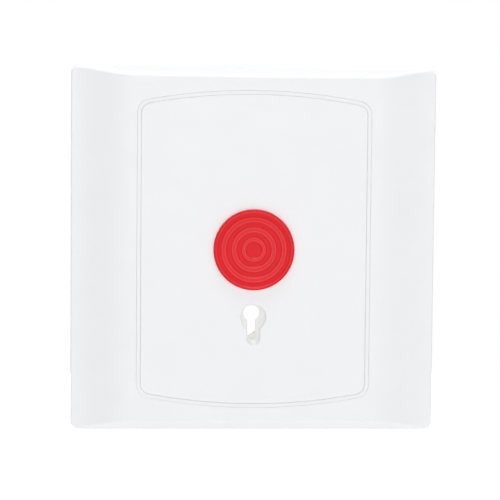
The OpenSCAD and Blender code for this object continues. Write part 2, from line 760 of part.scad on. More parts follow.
// A fixed contact strip: flat on its terminal, bent to its contact's level, then an arm
// that turns in under the stem's side
module contact_strip(side, level, tip_y) difference() {
    bend = (level > block_top ? strip_t : -strip_t) / 2;
    intersection() {
        rotate([90, 0, 90]) linear_extrude(height = plate_w, center = true) polygon([
            [block_y + block_l, block_top], [block_y + block_l, block_top + strip_t],
            [bend_y + bend, block_top + strip_t], [bend_y + bend, level + strip_t],
            [-plate_half, level + strip_t], [-plate_half, level],
            [bend_y - bend, level], [bend_y - bend, block_top]]);
        at(rear_out_z) linear_extrude(height = -rear_out_z) union() {
            translate([side * terminal_pitch - strip_half_w, -contact_reach - strip_half_w])
                square([2 * strip_half_w, block_y + block_l + contact_reach + strip_half_w]);
            translate([side > 0 ? -strip_half_w : -terminal_pitch, -contact_reach - strip_half_w])
                square([terminal_pitch + strip_half_w, 2 * strip_half_w]);
        }
    }
    rivet_hole(side * terminal_pitch);
    translate([0, tip_y, 0]) rod(contact_shank_r + press_gap, level - cut_over, level + strip_t + cut_over);
}

module nc_strip() color("peru") upright() contact_strip(1, nc_strip_z, -contact_reach);

module nc_contact() color("silver") upright() translate([0, -contact_reach, nc_strip_z])
    mirror([0, 0, 1]) domed_contact();

module no_strip() color("peru") upright() contact_strip(-1, no_strip_z - strip_t, no_dome_y);

module no_contact() color("silver") upright() translate([0, no_dome_y, no_strip_z]) domed_contact();

module terminal(x) color("goldenrod") upright() difference() {
    slab([x - block_w / 2, x + block_w / 2], [block_y, block_y + block_l], block_bottom, block_top);
    translate([x, block_y - cut_over, wire_z]) rotate([-90, 0, 0]) rod(wire_r, 0, block_l + 2 * cut_over);
    translate([x, clamp_y, 0]) {
        rod(clamp_r + press_gap, block_bottom - cut_over, wire_z);
        rod(rivet_r + press_gap, block_top - rivet_l, block_top + cut_over);
    }
}

module common_terminal() terminal(0);
module nc_terminal() terminal(terminal_pitch);
module no_terminal() terminal(-terminal_pitch);

module terminal_screws() color("silver") upright() {
    length = clamp_out_l + wire_z - wire_r - stop_gap - block_bottom;
    for (x = terminal_x) translate([x, clamp_y, block_bottom - clamp_out_l])
        screw(clamp_r, length, clamp_head_r, clamp_head_h);
}

module strip_rivets() color("silver") upright() for (x = terminal_x) translate([x, clamp_y, 0]) {
    strip_top = x == 0 ? block_top + leaf_t : block_top + strip_t;
    rod(rivet_r, block_top - rivet_l + touch_gap, strip_top + rivet_head_h / 2);
    rod(rivet_head_r, strip_top, strip_top + rivet_head_h);
}

module housing_screws() color("silver") upright() at_case_screws()
    at(base_t) mirror([0, 0, 1]) screw(case_screw_r, base_t + case_screw_l, case_head_r, case_head_h);

module rear_screws() color("silver") upright() at_case_screws()
    at(rear_out_z) screw(case_screw_r, rear_t + case_screw_l, case_head_r, case_head_h);

front_cover();
mounting_base();
key_guide();
mechanism_housing();
rear_cover();
button_cap();
button_stem();
stem_clip();
return_spring();
latch_slider();
latch_spring();
latch_keeper();
keeper_screws();
common_leaf();
moving_contact();
common_strip();
nc_strip();
nc_contact();
no_strip();
no_contact();
common_terminal();
nc_terminal();
no_terminal();
terminal_screws();
strip_rivets();
housing_screws();
rear_screws();
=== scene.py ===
# %% [markdown]
# # An emergency alarm button on a wall plate
#
# The object is a square white cover with a round red push button and a keyhole. Behind the
# wall plane sits a small case with the switch: a stem, a latch that the release key draws
# back, springs, contact strips and screw terminals. The exact solids come from the CAD
# frame. Here the visible pieces get finer shapes and the others soft edges, and every piece
# gets its finish.

import json
import math

import bmesh
import bpy
from mathutils import Matrix, Vector


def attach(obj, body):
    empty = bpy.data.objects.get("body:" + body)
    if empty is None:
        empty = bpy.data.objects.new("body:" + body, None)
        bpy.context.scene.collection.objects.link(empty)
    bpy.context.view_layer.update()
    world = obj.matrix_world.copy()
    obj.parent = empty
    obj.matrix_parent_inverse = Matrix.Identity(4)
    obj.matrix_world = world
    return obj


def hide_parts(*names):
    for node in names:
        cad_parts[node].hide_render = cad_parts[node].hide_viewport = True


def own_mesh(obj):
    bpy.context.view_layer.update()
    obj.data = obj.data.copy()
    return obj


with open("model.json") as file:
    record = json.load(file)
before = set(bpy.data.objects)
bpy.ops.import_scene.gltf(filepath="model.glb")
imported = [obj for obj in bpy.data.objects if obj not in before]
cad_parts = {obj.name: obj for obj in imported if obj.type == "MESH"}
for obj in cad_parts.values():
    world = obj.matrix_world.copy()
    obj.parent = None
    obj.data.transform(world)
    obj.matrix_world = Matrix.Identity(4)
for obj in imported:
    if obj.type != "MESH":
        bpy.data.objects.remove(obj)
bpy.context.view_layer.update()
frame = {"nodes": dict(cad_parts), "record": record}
nodes = frame["nodes"]

# %% [markdown]
# ## The camera
#
# The photograph was taken from about 300 mm, a little to the left of the button and above
# it, with the camera turned back towards the plate. A camera can be matched by eye, but the
# plate's edges run to vanishing points, so its place, turn and lens were solved from them.

# %% Camera
eye = Vector((-0.0144, -0.3046, 0.0136))
turn = (
    Matrix.Rotation(math.radians(-2.60), 4, "Z")
    @ Matrix.Rotation(math.radians(-2.63), 4, "X")
    @ Matrix.Rotation(math.radians(-0.51), 4, "Y")
)
lens_data = bpy.data.cameras.new("photo_camera")
lens_data.sensor_width = 36
lens_data.lens = 91.37
lens_data.clip_start = 0.01
camera = bpy.data.objects.new("photo_camera", lens_data)
bpy.context.scene.collection.objects.link(camera)
camera.matrix_world = Matrix.Translation(eye) @ turn @ Matrix.Rotation(math.radians(90), 4, "X")
bpy.context.scene.camera = camera
print("Camera looks along", [round(v, 3) for v in -camera.matrix_world.col[2].xyz])

# %% [markdown]
# ## A bench to model on
#
# Each new piece is modelled lying on its back in millimetres, with z pointing out of the
# wall and y up the wall, because round and flat forms are easy to reach that way. At the
# end it is stood up, shrunk to metres and given its place in its mesh, so that the finished
# object sits at the origin. These helpers select in code what a hand would click on.

# %% Bench helpers
WELD, WIDE_WELD = 0.0005, 0.002  # points nearer than this, in mm, become one


def only(piece):
    """Selects one object and makes it active."""
    if bpy.context.object and bpy.context.object.mode != "OBJECT":
        bpy.ops.object.mode_set(mode="OBJECT")
    bpy.ops.object.select_all(action="DESELECT")
    piece.select_set(True)
    bpy.context.view_layer.objects.active = piece


def edit(piece):
    """Opens the piece for work on its mesh, as the Tab key does."""
    only(piece)
    bpy.ops.object.mode_set(mode="EDIT")


def done():
    """Goes back to object mode, which writes the work into the mesh."""
    bpy.ops.object.mode_set(mode="OBJECT")


def named(name):
    """Names the primitive that was just added, and sets its size and place in its mesh."""
    piece = bpy.context.object
    piece.name = piece.data.name = name
    bpy.ops.object.transform_apply(location=True, rotation=True, scale=True)
    return piece


def block(name, x, y, z):
    """A box from its limits along each axis."""
    bpy.ops.mesh.primitive_cube_add(
        size=1,
        location=[sum(limits) / 2 for limits in (x, y, z)],
        scale=[limits[1] - limits[0] for limits in (x, y, z)],
    )
    return named(name)


# %% Select, cut and slice
def select(kind, test):
    """In edit mode, selects each vertex, edge or face for which the test is true."""
    mesh = bmesh.from_edit_mesh(bpy.context.edit_object.data)
    bpy.ops.mesh.select_mode(type=kind)
    bpy.ops.mesh.select_all(action="DESELECT")
    found = {"VERT": mesh.verts, "EDGE": mesh.edges, "FACE": mesh.faces}[kind]
    count = 0
    for element in found:
        if test(element):
            element.select_set(True)
            count += 1
    mesh.select_flush_mode()
    bmesh.update_edit_mesh(bpy.context.edit_object.data)
    return count


def middle(edge):
    """The point halfway along an edge."""
    return (edge.verts[0].co + edge.verts[1].co) / 2


def cut(piece, cutter, operation="DIFFERENCE"):
    """Cuts the cutter out of the piece, or joins the two into one closed skin."""
    only(piece)
    blade = piece.modifiers.new("cut", "BOOLEAN")
    blade.operation = operation
    blade.solver = "EXACT"
    blade.object = cutter
    bpy.ops.object.modifier_apply(modifier=blade.name)
    bpy.data.objects.remove(cutter)


def slice_mesh(piece, axis, places):
    """Adds edge lines across the mesh at these places along x (0) or y (1)."""
    edit(piece)
    normal = [0, 0, 0]
    normal[axis] = 1
    for place in places:
        point = [0, 0, 0]
        point[axis] = place
        bpy.ops.mesh.select_all(action="SELECT")
        bpy.ops.mesh.bisect(plane_co=point, plane_no=normal, threshold=WELD)
    done()


# %% Stand a piece up
STAND = Matrix.Scale(0.001, 4) @ Matrix.Rotation(math.radians(90), 4, "X")


def finish_piece(piece, angle):
    """Stands the piece up, in metres, with smooth faces that large flats keep flat."""
    edit(piece)
    bpy.ops.mesh.select_all(action="SELECT")
    bpy.ops.mesh.remove_doubles(threshold=WELD)
    bpy.ops.mesh.normals_make_consistent(inside=False)
    done()
    piece.data.transform(STAND)
    piece.data.update()
    only(piece)
    bpy.ops.object.shade_smooth_by_angle(angle=math.radians(angle))
    weighted = piece.modifiers.new("weighted", "WEIGHTED_NORMAL")
    weighted.keep_sharp = True
    bpy.ops.object.modifier_apply(modifier=weighted.name)
    triangles = sum(len(face.vertices) - 2 for face in piece.data.polygons)
    print(piece.name, "has", triangles, "triangles")


# %% [markdown]
# ## The cover's face
#
# The face is a soft pillow between its left and right edges, and it is cut by a steep bevel
# along the top and the bottom. It could be pulled into shape on a subdivided block, but then
# its height would be known nowhere. Here it is one formula: a lip at the edge, a smooth
# roll-off and a gentle crown. A soft minimum joins it to the bevels, so the ridge between
# them is slightly round, as on a moulded cover.

# %% Face formula
HALF = 43.0
WALL = 2.0
RIM, RISE = 4.6, 3.6
CROWN = RIM + RISE
BEVEL_RUN, OGEE_RUN = 2.5, 14.5
EDGE_SHARE, CROWN_SHARE = 0.12, 0.14
RIDGE_SOFT = 0.9


def smooth_step(t):
    """Goes from 0 to 1 with a soft start and a soft end."""
    t = min(max(t, 0.0), 1.0)
    return t * t * (3 - 2 * t)


def face_height(x):
    """The pillow: how far the face stands off the wall at this x."""
    share = (
        EDGE_SHARE
        + (1 - EDGE_SHARE - CROWN_SHARE) * smooth_step((HALF - abs(x)) / OGEE_RUN)
        + CROWN_SHARE * (1 - (x / HALF) ** 2)
    )
    return RIM + RISE * share


def soft_min(a, b, soft):
    """The lower of two heights, rounded where they meet."""
    t = min(max(0.5 + 0.5 * (b - a) / soft, 0.0), 1.0)
    return b + (a - b) * t - soft * t * (1 - t)


def cover_height(x, y):
    """The pillow with its bevels along the top and the bottom."""
    bevel = RIM + RISE * (HALF - abs(y)) / BEVEL_RUN
    return soft_min(face_height(x), bevel, RIDGE_SOFT)


print("Height of the face at the middle, the roll-off and the edge:",
      [round(face_height(x), 2) for x in (0, 35, HALF)])

# %% [markdown]
# ## The cover
#
# A real cover of this kind is moulded in one piece. It could be a curved sheet with a
# Solidify modifier, but clean holes are hard to cut into a sheet that is already curved. So
# a flat block is the start: its corners are rounded, and the panel's groove, the button's
# hole and the keyhole are cut out of it. Their outlines are plain lists of points.

# %% Outlines of the groove and the keyhole
BUTTON_HOLE_R = 9.47
KEY_Y, KEYHOLE_R, SLOT_HALF, SLOT_L = -15.85, 2.9, 1.5, 6.45
PANEL_HALF_W, PANEL_HALF_H, PANEL_BOW, PANEL_CORNER_R = 26.9, 36.7, 2.7, 2.8


def arc(cx, cy, r, start, stop, steps):
    """Points on an arc, from one angle to the other, in degrees."""
    angles = [math.radians(start + (stop - start) * i / steps) for i in range(steps + 1)]
    return [(cx + r * math.cos(a), cy + r * math.sin(a)) for a in angles]


def panel_outline(grow):
    """Straight sides, bowed top and bottom, round corners."""
    bow_r = (PANEL_HALF_W**2 + PANEL_BOW**2) / (2 * PANEL_BOW) + grow
    corner = PANEL_CORNER_R + grow
    corner_x = PANEL_HALF_W - PANEL_CORNER_R
    bow_y = PANEL_HALF_H + grow - bow_r
    corner_y = bow_y + math.sqrt((bow_r - corner) ** 2 - corner_x**2)
    lean = math.degrees(math.atan2(corner_y - bow_y, corner_x))
    top = arc(corner_x, corner_y, corner, 0, lean, 8)
    top += arc(0, bow_y, bow_r, lean, 180 - lean, 28)[1:]
    top += arc(-corner_x, corner_y, corner, 180 - lean, 180, 8)[1:]
    return top + [(-x, -y) for x, y in top]


def keyhole_outline():
    """A circle with a slot below it that ends in a half circle."""
    reach = math.degrees(math.acos(SLOT_HALF / KEYHOLE_R))
    low = KEY_Y - SLOT_L + SLOT_HALF
    points = arc(0, KEY_Y, KEYHOLE_R, -reach, 180 + reach, 48)
    return points + arc(0, low, SLOT_HALF, 180, 360, 20)


print("Panel outline:", len(panel_outline(0)), "points; keyhole:", len(keyhole_outline()))

# %% Blocks from outlines
def prism(name, outline, low, high):
    """A block with this outline: a filled ring whose points are placed, then extruded."""
    bpy.ops.mesh.primitive_circle_add(vertices=len(outline), radius=1, fill_type="NGON")
    piece = named(name)
    for vertex, (x, y) in zip(piece.data.vertices, outline):
        vertex.co = (x, y, low)
    edit(piece)
    bpy.ops.mesh.select_all(action="SELECT")
    bpy.ops.mesh.extrude_region_move(TRANSFORM_OT_translate={"value": (0, 0, high - low)})
    bpy.ops.mesh.select_all(action="SELECT")
    bpy.ops.mesh.normals_make_consistent(inside=False)
    done()
    return piece


# %% Cover block with its holes
CORNER_R, EDGE_R = 2.2, 0.35
GROOVE_HALF, GROOVE_D = 0.4, 0.055
AT_FRONT = CROWN - 0.01

cover = block("cover", (-HALF, HALF), (-HALF, HALF), (0, CROWN))
edit(cover)
select("EDGE", lambda e: abs(e.verts[0].co.z - e.verts[1].co.z) > 1)
bpy.ops.mesh.bevel(offset=CORNER_R, segments=10, affect="EDGES")
select("EDGE", lambda e: min(v.co.z for v in e.verts) > AT_FRONT)
bpy.ops.mesh.bevel(offset=EDGE_R, segments=4, affect="EDGES")
done()

groove = prism("groove", panel_outline(GROOVE_HALF), CROWN - GROOVE_D, CROWN + 1)
cut(groove, prism("island", panel_outline(-GROOVE_HALF), CROWN - 2, CROWN + 2))
cut(cover, groove)
bpy.ops.mesh.primitive_cylinder_add(vertices=128, radius=BUTTON_HOLE_R, depth=20)
cut(cover, named("button_hole"))
cut(cover, prism("keyhole", keyhole_outline(), -1, CROWN + 1))
print("Cover block:", len(cover.data.polygons), "faces")

# %% [markdown]
# ### Rims
#
# A moulded rim is never sharp, and it catches the light. A Bevel modifier would round every
# edge alike. Instead the edges of each rim are picked by their place and get a width of
# their own, while everything is still flat and simple.

# %% Rounded rims
HOLE_RIM, KEY_RIM, GROOVE_RIM = 0.06, 0.4, 0.3
NEAR = 0.7  # how far from an outline an edge may be and still belong to it


def front_edge(edge):
    """The edge lies in the front face and has a face on both sides."""
    return min(v.co.z for v in edge.verts) > AT_FRONT and len(edge.link_faces) == 2


def turns_down(edge):
    """One side of the edge faces forwards and the other is a wall."""
    return any(abs(face.normal.z) < 0.1 for face in edge.link_faces)


def round_rim(test, offset, segments):
    """Bevels the front edges of a hole or groove whose middles pass the test."""
    edit(cover)
    count = select("EDGE", lambda e: front_edge(e) and turns_down(e) and test(middle(e)))
    bpy.ops.mesh.bevel(offset=offset, segments=segments, affect="EDGES")
    done()
    print("Rounded", count, "edges by", offset, "mm")


def by_keyhole(p):
    """The point lies on the keyhole's rim."""
    return abs(p.x) < KEYHOLE_R + NEAR and KEY_Y - SLOT_L - NEAR < p.y < KEY_Y + KEYHOLE_R + NEAR


round_rim(lambda p: p.xy.length < BUTTON_HOLE_R + NEAR, HOLE_RIM, 2)
round_rim(by_keyhole, KEY_RIM, 5)
round_rim(lambda p: p.xy.length > PANEL_HALF_W - GROOVE_HALF - NEAR, GROOVE_RIM, 4)

# %% [markdown]
# ### The curved front
#
# A lattice could bend the block, but not to a formula. So edge lines are sliced across the
# block where the form curves, close together on the roll-offs and the ridges, and then each
# point at the front is lifted to its height.

# %% Lift the front to its form
LAST_CUT = HALF - 0.4
FRONT_DEPTH = 1.5  # everything this near the front is lifted with it


def spaced(start, stop, step):
    """Even places from start to stop, about this step apart."""
    count = max(1, round((stop - start) / step))
    return [start + (stop - start) * i / count for i in range(count + 1)]


across = spaced(HALF - OGEE_RUN, LAST_CUT, 0.55)
across += [-x for x in across] + spaced(-24.5, 24.5, 3.5)
along = spaced(HALF - BEVEL_RUN - 1.1, LAST_CUT, 0.16)
along += [-y for y in along]
slice_mesh(cover, 0, across)
slice_mesh(cover, 1, along)
for vertex in cover.data.vertices:
    x, y, z = vertex.co
    if z > CROWN - FRONT_DEPTH:
        vertex.co.z = cover_height(x, y) - (CROWN - z)
print("Cover front:", len(cover.data.polygons), "faces")

# %% [markdown]
# ### The inside
#
# The cover is a shell of even thickness, so a smaller block with the same form is cut out
# of it. Solidify could do that too, but the groove would show inside. Four beads hold the
# cover on its base, and a notch at its lower edge takes the blade that pries it off.

# %% Hollow, beads and pry notch
BEAD_X, BEAD_HALF, BEAD_Z = 18, 5, (0.4, 1.3)
NOTCH_HALF, NOTCH_H = 4, 1.2
INNER = HALF - WALL
INNER_RIM = RIM - WALL / 2
hollow = block("hollow", (-INNER, INNER), (-INNER, INNER), (-1, CROWN - WALL))
slice_mesh(hollow, 0, [x for x in across if abs(x) < INNER][::2])
slice_mesh(hollow, 1, [-INNER + BEVEL_RUN, INNER - BEVEL_RUN])
for vertex in hollow.data.vertices:
    if vertex.co.z > 0:
        x, y, _ = vertex.co
        bevel = INNER_RIM + (CROWN - WALL - INNER_RIM) * (INNER - abs(y)) / BEVEL_RUN
        vertex.co.z = min(face_height(x) - WALL, bevel)
cut(cover, hollow)
for side in (-1, 1):
    for end in (-1, 1):
        x = BEAD_X * side
        y_limits = sorted((end * (INNER - 1), end * (INNER + 1)))
        cut(cover, block("bead", (x - BEAD_HALF, x + BEAD_HALF), y_limits, BEAD_Z), "UNION")
cut(cover, block("pry_notch", (-NOTCH_HALF, NOTCH_HALF), (-HALF - 1, -INNER + 1), (-1, NOTCH_H)))
finish_piece(cover, 40)
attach(cover, "plate")
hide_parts("front_cover")

# %% [markdown]
# ## The red button
#
# The cap is a turned form: a shallow dish with three raised rings, a thin lip at the rim, a
# skirt, and a flange that stays under the cover. Tori could be laid in the dish as rings, but
# they would meet it in hard creases. So the half section is drawn point by point and spun
# round the axis, which is how a mould for it is turned as well.

# %% Turned forms
def turned(name, section, steps):
    """Extrudes a single point along the half section, then spins it round the z axis."""
    bpy.ops.mesh.primitive_circle_add(vertices=3, radius=1)
    piece = named(name)
    edit(piece)
    bpy.ops.mesh.select_mode(type="VERT")
    bpy.ops.mesh.select_all(action="SELECT")
    bpy.ops.mesh.merge(type="CENTER")
    bpy.ops.transform.translate(value=(section[0][0], 0, section[0][1]))
    for (r0, z0), (r1, z1) in zip(section, section[1:]):
        bpy.ops.mesh.extrude_region_move(TRANSFORM_OT_translate={"value": (r1 - r0, 0, z1 - z0)})
    bpy.ops.mesh.select_all(action="SELECT")
    bpy.ops.mesh.spin(steps=steps, angle=math.tau, center=(0, 0, 0), axis=(0, 0, 1))
    bpy.ops.mesh.select_all(action="SELECT")
    bpy.ops.mesh.remove_doubles(threshold=WIDE_WELD)
    bpy.ops.mesh.normals_make_consistent(inside=False)
    done()
    return piece


def rounded(points, r, steps=4):
    """Rounds each corner of a section, apart from its two ends, by r."""
    out = [points[0]]
    for before, here, after in zip(points, points[1:], points[2:]):
        a, b, c = (Vector(p) for p in (before, here, after))
        near = min(r, (a - b).length * 0.45, (c - b).length * 0.45)
        start, end = b + (a - b).normalized() * near, b + (c - b).normalized() * near
        for i in range(steps + 1):
            t = i / steps
            out.append(tuple(start * (1 - t) ** 2 + b * 2 * t * (1 - t) + end * t**2))
    return out + [points[-1]]


# %% Sizes of the cap
CAP_R, CAP_PROUD, SKIN = 9.45, 0.8, 1
CAP_RIM = CROWN + CAP_PROUD
DISH_D, DISH_POWER, RING_H = 0.7, 4, 0.4
SEAT = CAP_RIM - RING_H - DISH_D - SKIN
LIP_W, LIP_R = 0.6, 0.28
FLANGE_W, FLANGE_T, SKIRT_T = 0.85, 1.3, 1.5
BOSS_R, BORE_R, BOSS_Z = 4.2, 2.53, 3.8
RINGS = [(0.255 * CAP_R, 1.3), (0.495 * CAP_R, 1.6), (0.75 * CAP_R, 1.6)]
SOFT_RING_H, RING_SLOPE = 0.28, 0.38


def dish(r):
    """The height of the cap's top at this distance from the axis."""
    height = CAP_RIM - RING_H - DISH_D * (1 - (r / CAP_R) ** DISH_POWER)
    for ring, width in RINGS:
        height += SOFT_RING_H * smooth_step((width / 2 - abs(r - ring)) / RING_SLOPE)
    return height


print("Height of the cap at the middle, the outer ring and the edge:",
      [round(dish(r), 2) for r in (0, RINGS[2][0], CAP_R)])

# %% Button cap
top = [(r, dish(r)) for r in spaced(0, CAP_R - LIP_W - 0.4, 0.07)]
rim = arc(CAP_R - LIP_R, CAP_RIM - LIP_R, LIP_R, 125, 0, 8)
flange = CROWN - WALL - 0.2
below = rounded(
    [
        (CAP_R, flange + 1), (CAP_R, flange), (CAP_R + FLANGE_W, flange),
        (CAP_R + FLANGE_W, flange - FLANGE_T), (CAP_R - SKIRT_T, flange - FLANGE_T),
        (CAP_R - SKIRT_T, SEAT), (BOSS_R, SEAT), (BOSS_R, BOSS_Z),
        (BORE_R, BOSS_Z), (BORE_R, SEAT), (0, SEAT),
    ],
    0.2,
)
cap = turned("cap", top + rim + below, 160)
finish_piece(cap, 50)
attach(cap, "button")
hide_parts("button_cap")

# %% [markdown]
# ## Springs
#
# Both springs are round wire wound on a mandrel. A curve with a round bevel could stand for
# one, but a small circle that is screwed round the axis is a mesh at once, and only the
# wire's cut ends are left to close. Each spring moves whole with the body of its node. In the
# switch the return spring is squashed between the case and the cap as the button goes in, and
# the latch's spring towards the latch as the key draws that down, but nothing here squashes them.

# %% Bodies and finishes from the record
bodies = frame["record"]["behaviour"]["bodies"]
body_of = {node: body for body, members in bodies.items() for node in members}
slot_of = {entry["node"]: entry["material_slot"] for entry in frame["record"]["subparts"]}


def hand_over(piece, node):
    """The piece stands for this node and moves with its body."""
    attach(piece, body_of[node])
    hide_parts(node)


print("Bodies:", {body: len(members) for body, members in bodies.items()})

# %% Wound wire
WIRE_CORNERS, TURN_STEPS = 14, 40


def wound(name, mean_r, wire_r, length, turns):
    """A spring that stands on z = 0."""
    bpy.ops.mesh.primitive_circle_add(vertices=WIRE_CORNERS, radius=wire_r)
    piece = named(name)
    edit(piece)
    bpy.ops.mesh.select_all(action="SELECT")
    bpy.ops.transform.rotate(value=math.radians(90), orient_axis="X", center_override=(0, 0, 0))
    bpy.ops.transform.translate(value=(mean_r, 0, wire_r))
    done()
    screw = piece.modifiers.new("screw", "SCREW")
    screw.angle, screw.iterations = math.tau, turns
    screw.steps = screw.render_steps = TURN_STEPS
    screw.screw_offset = (length - 2 * wire_r) / turns
    bpy.ops.object.modifier_apply(modifier=screw.name)
    edit(piece)
    bpy.ops.mesh.select_all(action="SELECT")
    bpy.ops.mesh.fill_holes(sides=0)
    done()
    return piece


# %% Return spring
RETURN_R, RETURN_WIRE_R, RETURN_TURNS = 6.2, 0.28, 3
END_GAP = 0.05
return_spring = wound("return_spring_wire", RETURN_R, RETURN_WIRE_R, SEAT - 2 * END_GAP, RETURN_TURNS)
return_spring.data.transform(Matrix.Translation((0, 0, END_GAP)))
finish_piece(return_spring, 60)
hand_over(return_spring, "return_spring")
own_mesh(return_spring)

# %% Latch spring
LATCH_R, LATCH_WIRE_R, LATCH_TURNS = 1.5, 0.22, 5
LATCH_L, LATCH_END_Y, LATCH_SPRING_Z = 4.9, -25.25, -7.3
latch_spring = wound("latch_spring_wire", LATCH_R, LATCH_WIRE_R, LATCH_L, LATCH_TURNS)
latch_spring.data.transform(
    Matrix.Translation((0, LATCH_END_Y, LATCH_SPRING_Z)) @ Matrix.Rotation(math.radians(90), 4, "X")
)
finish_piece(latch_spring, 60)
hand_over(latch_spring, "latch_spring")
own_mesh(latch_spring)

# %% [markdown]
# ## Softened edges
#
# Nothing that is moulded, punched or turned has razor edges. A Bevel modifier alone would
# fray, because the solids come as triangles. So each of these pieces is a copy whose doubled
# points are merged and whose triangles are joined to flats first. Then every corner sharper
# than 35 degrees is bevelled by what its process leaves, from 0.25 mm on the big mouldings
# to 0.05 mm on the punched strips. A flat with holes in it is filled again from its
# outlines, because one face can't go round a hole. A piece that doesn't come out closed and
# of its old volume is tried again with less, and else the solid stays as it is.

# %% Widths of the soft edges
SOFT_MM = {
    "mounting_base": 0.25, "mechanism_housing": 0.15, "rear_cover": 0.25, "key_guide": 0.12,
    "button_stem": 0.15, "stem_clip": 0.08, "latch_slider": 0.12, "latch_keeper": 0.12,
    "common_terminal": 0.12, "nc_terminal": 0.12, "no_terminal": 0.12, "terminal_screws": 0.12,
    "keeper_screws": 0.06, "housing_screws": 0.1, "rear_screws": 0.1, "strip_rivets": 0.08,
    "common_leaf": 0.05, "common_strip": 0.06, "nc_strip": 0.06, "no_strip": 0.06,
    "moving_contact": 0.06, "nc_contact": 0.06, "no_contact": 0.06,
}
SHARP = math.radians(35)
print(len(SOFT_MM), "pieces, from", min(SOFT_MM.values()), "to", max(SOFT_MM.values()), "mm")

# %% Measure a piece and refill its flats
MOST_CORNERS = 8  # faces with more may have holes


def measured(piece):
    """How many edges don't have two faces, the volume and the area, in millimetres."""
    mesh = bmesh.new()
    mesh.from_mesh(piece.data)
    gaps = sum(len(edge.link_faces) != 2 for edge in mesh.edges)
    volume = mesh.calc_volume()
    mesh.free()
    return gaps, volume, sum(face.area for face in piece.data.polygons)


def refill_flats(piece):
    """Each face of many corners is taken out and its outlines are filled with triangles."""
    while True:
        big = [face.index for face in piece.data.polygons if len(face.vertices) > MOST_CORNERS]
        if not big:
            return
        edit(piece)
        bpy.ops.mesh.select_mode(type="FACE")
        bpy.ops.mesh.select_all(action="DESELECT")
        done()
        piece.data.polygons[big[0]].select = True
        edit(piece)
        bpy.ops.mesh.delete(type="ONLY_FACE")
        bpy.ops.mesh.select_mode(type="EDGE")
        bpy.ops.mesh.select_all(action="DESELECT")
        bpy.ops.mesh.select_non_manifold(
            use_wire=False, use_multi_face=False, use_non_contiguous=False, use_verts=False
        )
        bpy.ops.mesh.fill(use_beauty=True)
        bpy.ops.mesh.select_all(action="SELECT")
        bpy.ops.mesh.delete_loose(use_verts=True, use_edges=True, use_faces=False)
        done()


# %% Soften one piece
def softened(node, width):
    """A copy of the node with bevelled edges, or None if the copy isn't sound."""
    piece = bpy.data.objects.new(node + "_soft", nodes[node].data.copy())
    bpy.context.scene.collection.objects.link(piece)
    piece.data.transform(STAND.inverted())
    edit(piece)
    bpy.ops.mesh.select_mode(type="VERT")
    bpy.ops.mesh.select_all(action="SELECT")
    bpy.ops.mesh.remove_doubles(threshold=WIDE_WELD)
    bpy.ops.mesh.select_all(action="SELECT")
    bpy.ops.mesh.dissolve_limited(angle_limit=math.radians(1))
    done()
    hard_volume = measured(piece)[1]
    only(piece)
    bevel = piece.modifiers.new("soft", "BEVEL")
    bevel.width, bevel.segments, bevel.use_clamp_overlap = width, 2, False
    bevel.limit_method, bevel.angle_limit = "ANGLE", SHARP
    bpy.ops.object.modifier_apply(modifier=bevel.name)
    soft_area = measured(piece)[2]
    refill_flats(piece)
    gaps, volume, area = measured(piece)
    kept, filled = volume / hard_volume, area / soft_area
    print(node, "open edges:", gaps, "volume kept:", round(kept, 4), "area:", round(filled, 5))
    if gaps == 0 and 0.97 < kept < 1.01 and abs(filled - 1) < 0.001:
        return piece
    bpy.data.objects.remove(piece)
    return None


# %% Soften them all
softened_pieces = {}
for node, width in SOFT_MM.items():
    piece = softened(node, width) or softened(node, width * 0.8) or softened(node, width * 0.6)
    if piece:
        finish_piece(piece, 40)
        hand_over(piece, node)
        softened_pieces[node] = piece
print("Softened", len(softened_pieces), "of", len(SOFT_MM), "pieces")

# %% [markdown]
# ## Finishes
#
# A finish is a tree of nodes that ends in one Principled shader. Trees can be drawn in the
# shader editor, but written ones are shorter to read and easy to change. The small class
# below wraps a node's output, so that patterns can be added and multiplied with plain Python
# signs, and the other class builds one material and makes any node with one method.

# %% Patterns
class Pattern:
    """The output of a shader node. Python's signs add Math nodes to it."""

    def __init__(self, finish, socket):
        self.finish, self.socket = finish, socket

    def __add__(self, other):
        return self.finish.maths("ADD", self, other)

    def __sub__(self, other):
        return self.finish.maths("SUBTRACT", self, other)

    def __mul__(self, other):
        return self.finish.maths("MULTIPLY", self, other)

    __radd__ = __add__


# %% Materials
COLOUR_A, COLOUR_B, COLOUR_OUT = 6, 7, 2  # the colour sockets of a Mix node


